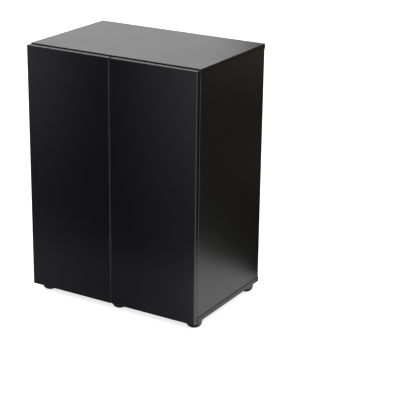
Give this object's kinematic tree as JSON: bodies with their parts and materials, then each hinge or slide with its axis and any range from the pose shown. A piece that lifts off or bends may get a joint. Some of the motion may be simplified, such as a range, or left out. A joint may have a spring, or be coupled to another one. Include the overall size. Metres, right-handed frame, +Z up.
{
  "type": "aquarium stand cabinet",
  "caption": "Black two-door cabinet on round feet that carries an aquarium, with an open-backed bay for hoses and a shelved bay, concealed hinges and push latches.",
  "frame": {"origin": "on the ground, in the middle of the 610 x 410 mm footprint, doors closed", "axes": "+X to the right seen from the front, +Y to the back, +Z up"},
  "size_m": [0.61, 0.41, 0.823],
  "materials": {
    "black_melamine": "satin black melamine with a very fine pearl texture",
    "door_melamine": "satin black melamine with a very fine pearl texture",
    "foot_plastic": "moulded black plastic, faint sheen",
    "latch_plastic": "moulded dark grey plastic",
    "dark_screw": "black zinc",
    "cam_zinc": "cast zinc, dull grey",
    "nickel": "nickel-plated pressed steel"
  },
  "bodies": {
    "carcass": {"foot_front_left": "foot_plastic", "foot_screw_front_left": "dark_screw", "foot_front_middle": "foot_plastic", "foot_screw_front_middle": "dark_screw", "foot_front_right": "foot_plastic", "foot_screw_front_right": "dark_screw", "foot_rear_left": "foot_plastic", "foot_screw_rear_left": "dark_screw", "foot_rear_middle": "foot_plastic", "foot_screw_rear_middle": "dark_screw", "foot_rear_right": "foot_plastic", "foot_screw_rear_right": "dark_screw", "cam_lock_left_front_top": "cam_zinc", "cam_lock_left_rear_top": "cam_zinc", "cam_lock_left_front_bottom": "cam_zinc", "cam_lock_left_rear_bottom": "cam_zinc", "cam_lock_right_front_top": "cam_zinc", "cam_lock_right_rear_top": "cam_zinc", "cam_lock_right_front_bottom": "cam_zinc", "cam_lock_right_rear_bottom": "cam_zinc", "cam_lock_back_top_left": "cam_zinc", "cam_lock_back_top_right": "cam_zinc", "cam_lock_back_bottom_left": "cam_zinc", "cam_lock_back_bottom_right": "cam_zinc", "shelf_pin_front_left": "nickel", "shelf_pin_rear_left": "nickel", "shelf_pin_front_right": "nickel", "shelf_pin_rear_right": "nickel", "top_panel": "black_melamine", "bottom_panel": "black_melamine", "left_side_panel": "black_melamine", "right_side_panel": "black_melamine", "center_divider": "black_melamine", "back_panel": "black_melamine", "upper_left_hinge_plate": "nickel", "upper_left_hinge_arm": "nickel", "lower_left_hinge_plate": "nickel", "lower_left_hinge_arm": "nickel", "upper_right_hinge_plate": "nickel", "upper_right_hinge_arm": "nickel", "lower_right_hinge_plate": "nickel", "lower_right_hinge_arm": "nickel", "left_latch_housing": "latch_plastic", "right_latch_housing": "latch_plastic"},
    "left_door": {"left_door": "door_melamine", "upper_left_hinge_cup": "nickel", "lower_left_hinge_cup": "nickel", "left_strike_plate": "nickel"},
    "right_door": {"right_door": "door_melamine", "upper_right_hinge_cup": "nickel", "lower_right_hinge_cup": "nickel", "right_strike_plate": "nickel"},
    "left_hinge_links": {"upper_left_hinge_link": "nickel", "lower_left_hinge_link": "nickel"},
    "right_hinge_links": {"upper_right_hinge_link": "nickel", "lower_right_hinge_link": "nickel"},
    "left_latch_plunger": {"left_latch_plunger": "nickel"},
    "right_latch_plunger": {"right_latch_plunger": "nickel"},
    "shelf": {"shelf": "black_melamine"}
  },
  "joints": [
    {"name": "left_door_hinge", "type": "hinge", "parent": "carcass", "child": "left_door", "pos_m": [-0.2975, -0.1975, 0.4235], "axis": [0, 0, -1], "range_deg": [0, 105]},
    {"name": "left_hinge_link_pivot", "type": "hinge", "parent": "carcass", "child": "left_hinge_links", "pos_m": [-0.2725, -0.18325, 0.404], "axis": [0, 0, 1], "range_deg": [0, 20]},
    {"name": "left_latch_slide", "type": "slide", "parent": "carcass", "child": "left_latch_plunger", "axis": [0, -1, 0], "range_m": [0, 0.0145]},
    {"name": "right_door_hinge", "type": "hinge", "parent": "carcass", "child": "right_door", "pos_m": [0.2975, -0.1975, 0.4235], "axis": [0, 0, 1], "range_deg": [0, 105]},
    {"name": "right_hinge_link_pivot", "type": "hinge", "parent": "carcass", "child": "right_hinge_links", "pos_m": [0.2725, -0.18325, 0.404], "axis": [0, 0, -1], "range_deg": [0, 20]},
    {"name": "right_latch_slide", "type": "slide", "parent": "carcass", "child": "right_latch_plunger", "axis": [0, -1, 0], "range_m": [0, 0.0145]},
    {"name": "shelf_lift", "type": "slide", "parent": "carcass", "child": "shelf", "axis": [0, 0, 1], "range_m": [0, 0.06]}
  ],
  "couplings": [
    {"joint": "left_hinge_link_pivot", "follows": "left_door_hinge", "ratio": 0.1857},
    {"joint": "left_latch_slide", "follows": "left_door_hinge", "m_per_rad": 0.007639},
    {"joint": "right_hinge_link_pivot", "follows": "right_door_hinge", "ratio": 0.1857},
    {"joint": "right_latch_slide", "follows": "right_door_hinge", "m_per_rad": 0.007639}
  ]
}
